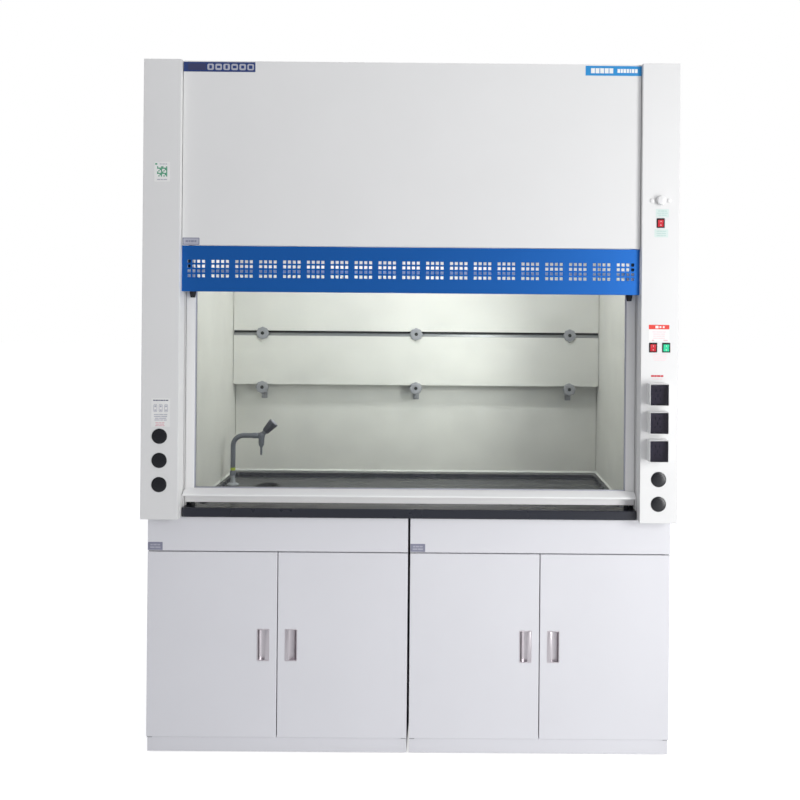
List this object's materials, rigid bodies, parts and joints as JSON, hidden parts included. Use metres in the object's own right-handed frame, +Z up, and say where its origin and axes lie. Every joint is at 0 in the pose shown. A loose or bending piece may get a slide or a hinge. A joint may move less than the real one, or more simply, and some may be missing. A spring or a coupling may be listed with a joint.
{
  "type": "fume hood",
  "caption": "Floor-standing laboratory fume hood with a vertical glass sash, blue bypass grille, black worktop with tap and cup sink, and base cupboards.",
  "frame": {"origin": "on the floor, midway between the sides and midway between the frontmost and rearmost points", "axes": "+Z up, +X to the user's right, -Y towards the user"},
  "size_m": [1.8, 0.894, 2.45],
  "materials": {
    "powder_coat": "satin off-white powder coat",
    "blue_coat": "satin blue powder coat",
    "galvanised": "zinc plated",
    "liner_board": "matt cream chemical-resistant board",
    "worktop_black": "satin black resin",
    "polypropylene": "black moulded plastic",
    "tap_coat": "grey epoxy coated brass",
    "tap_knob_plastic": "dark grey moulded plastic",
    "holder_plastic": "grey moulded plastic",
    "sash_aluminium": "satin anodised",
    "handle_coat": "white powder coat",
    "tempered_glass": "clear",
    "lamp_glass": "clear",
    "tube_glass": "white lamp glass",
    "black_rubber": "matt",
    "weight_iron": "painted dark grey",
    "pulley_nylon": "natural nylon",
    "cable_steel": "stranded stainless steel",
    "satin_nickel": "satin nickel",
    "red_plastic": "gloss",
    "green_plastic": "gloss",
    "white_plastic": "gloss",
    "smoked_plastic": "smoked, translucent",
    "black_plastic": "satin"
  },
  "bodies": {
    "casing": {"cabinet_left_carcass": "powder_coat", "cabinet_right_carcass": "powder_coat", "cabinet_aprons": "powder_coat", "cabinet_plinths": "powder_coat", "cabinet_shelves": "powder_coat", "levelling_feet": "galvanised", "door_pivots": "galvanised", "worktop": "worktop_black", "cup_sink": "polypropylene", "tap_flange": "tap_coat", "column_left": "powder_coat", "column_right": "powder_coat", "side_panel_left": "powder_coat", "side_panel_right": "powder_coat", "front_cover": "powder_coat", "bypass_grille": "blue_coat", "roof_panel": "powder_coat", "back_panel": "powder_coat", "liner_walls": "liner_board", "liner_ceiling": "liner_board", "baffle_top": "liner_board", "baffle_middle": "liner_board", "baffle_bottom": "liner_board", "baffle_holders": "holder_plastic", "exhaust_spigot": "polypropylene", "cable_gland": "black_plastic", "lamp_housing": "powder_coat", "lamp_window": "lamp_glass", "lamp_tubes": "tube_glass", "sash_tracks": "sash_aluminium", "sash_bumpers": "black_rubber", "sash_cables": "cable_steel", "upper_frame": "galvanised", "control_bezels": "black_plastic", "socket_boxes": "white_plastic", "service_plugs": "black_plastic"},
    "sash": {"sash_glass": "tempered_glass", "sash_frame": "sash_aluminium", "sash_handle": "handle_coat"},
    "counterweight_left": {"counterweight_left": "weight_iron"},
    "counterweight_right": {"counterweight_right": "weight_iron"},
    "pulley_left": {"pulley_left": "pulley_nylon"},
    "pulley_right": {"pulley_right": "pulley_nylon"},
    "tap_neck": {"tap_neck": "tap_coat"},
    "tap_knob": {"tap_knob": "tap_knob_plastic"},
    "speed_knob": {"speed_knob": "white_plastic"},
    "rocker_lamp": {"rocker_lamp": "red_plastic"},
    "rocker_fan": {"rocker_fan": "red_plastic"},
    "rocker_power": {"rocker_power": "green_plastic"},
    "socket_cover_top": {"socket_cover_top": "smoked_plastic"},
    "socket_cover_middle": {"socket_cover_middle": "smoked_plastic"},
    "socket_cover_bottom": {"socket_cover_bottom": "smoked_plastic"},
    "door_left_outer": {"door_left_outer": "powder_coat", "door_left_outer_pull": "satin_nickel"},
    "door_left_inner": {"door_left_inner": "powder_coat", "door_left_inner_pull": "satin_nickel"},
    "door_right_inner": {"door_right_inner": "powder_coat", "door_right_inner_pull": "satin_nickel"},
    "door_right_outer": {"door_right_outer": "powder_coat", "door_right_outer_pull": "satin_nickel"}
  },
  "joints": [
    {"name": "sash_slide", "type": "slide", "parent": "casing", "child": "sash", "axis": [0, 0, 1], "range_m": [0, 0.65], "deforming": ["sash_cables"]},
    {"name": "counterweight_left_slide", "type": "slide", "parent": "casing", "child": "counterweight_left", "axis": [0, 0, -1], "range_m": [0, 0.65]},
    {"name": "pulley_left_turn", "type": "hinge", "parent": "casing", "child": "pulley_left", "pos_m": [-0.815, -0.256, 2.28], "axis": [-1, 0, 0], "range_deg": [0, 745]},
    {"name": "counterweight_right_slide", "type": "slide", "parent": "casing", "child": "counterweight_right", "axis": [0, 0, -1], "range_m": [0, 0.65]},
    {"name": "pulley_right_turn", "type": "hinge", "parent": "casing", "child": "pulley_right", "pos_m": [0.815, -0.256, 2.28], "axis": [-1, 0, 0], "range_deg": [0, 745]},
    {"name": "door_left_outer_hinge", "type": "hinge", "parent": "casing", "child": "door_left_outer", "pos_m": [-0.886, -0.335, 0.376], "axis": [0, 0, -1], "range_deg": [0, 110]},
    {"name": "door_left_inner_hinge", "type": "hinge", "parent": "casing", "child": "door_left_inner", "pos_m": [-0.011, -0.335, 0.376], "axis": [0, 0, 1], "range_deg": [0, 90]},
    {"name": "door_right_inner_hinge", "type": "hinge", "parent": "casing", "child": "door_right_inner", "pos_m": [0.011, -0.335, 0.376], "axis": [0, 0, -1], "range_deg": [0, 90]},
    {"name": "door_right_outer_hinge", "type": "hinge", "parent": "casing", "child": "door_right_outer", "pos_m": [0.886, -0.335, 0.376], "axis": [0, 0, 1], "range_deg": [0, 110]},
    {"name": "tap_neck_swivel", "type": "hinge", "parent": "casing", "child": "tap_neck", "pos_m": [-0.705, 0.089, 0.91], "axis": [0, 0, 1], "range_deg": [-90, 90]},
    {"name": "tap_knob_turn", "type": "hinge", "parent": "tap_neck", "child": "tap_knob", "pos_m": [-0.57454, 0.089, 1.04994], "axis": [0.682, 0, 0.7314], "range_deg": [0, 360]},
    {"name": "speed_knob_turn", "type": "hinge", "parent": "casing", "child": "speed_knob", "pos_m": [0.8375, -0.403, 1.899], "axis": [0, 1, 0], "range_deg": [-135, 135]},
    {"name": "rocker_lamp_tip", "type": "hinge", "parent": "casing", "child": "rocker_lamp", "pos_m": [0.8375, -0.399, 1.824], "axis": [-1, 0, 0], "range_deg": [0, 16]},
    {"name": "rocker_fan_tip", "type": "hinge", "parent": "casing", "child": "rocker_fan", "pos_m": [0.8155, -0.399, 1.406], "axis": [-1, 0, 0], "range_deg": [0, 16]},
    {"name": "rocker_power_tip", "type": "hinge", "parent": "casing", "child": "rocker_power", "pos_m": [0.8595, -0.399, 1.406], "axis": [-1, 0, 0], "range_deg": [0, 16]},
    {"name": "socket_cover_top_flip", "type": "hinge", "parent": "casing", "child": "socket_cover_top", "pos_m": [0.8285, -0.4445, 1.2815], "axis": [-1, 0, 0], "range_deg": [0, 110]},
    {"name": "socket_cover_middle_flip", "type": "hinge", "parent": "casing", "child": "socket_cover_middle", "pos_m": [0.8285, -0.4445, 1.188], "axis": [-1, 0, 0], "range_deg": [0, 110]},
    {"name": "socket_cover_bottom_flip", "type": "hinge", "parent": "casing", "child": "socket_cover_bottom", "pos_m": [0.8285, -0.4445, 1.0945], "axis": [-1, 0, 0], "range_deg": [0, 110]}
  ],
  "couplings": [
    {"joint": "counterweight_left_slide", "follows": "sash_slide", "ratio": 1},
    {"joint": "pulley_left_turn", "follows": "sash_slide", "rad_per_m": 20},
    {"joint": "counterweight_right_slide", "follows": "sash_slide", "ratio": 1},
    {"joint": "pulley_right_turn", "follows": "sash_slide", "rad_per_m": 20}
  ]
}
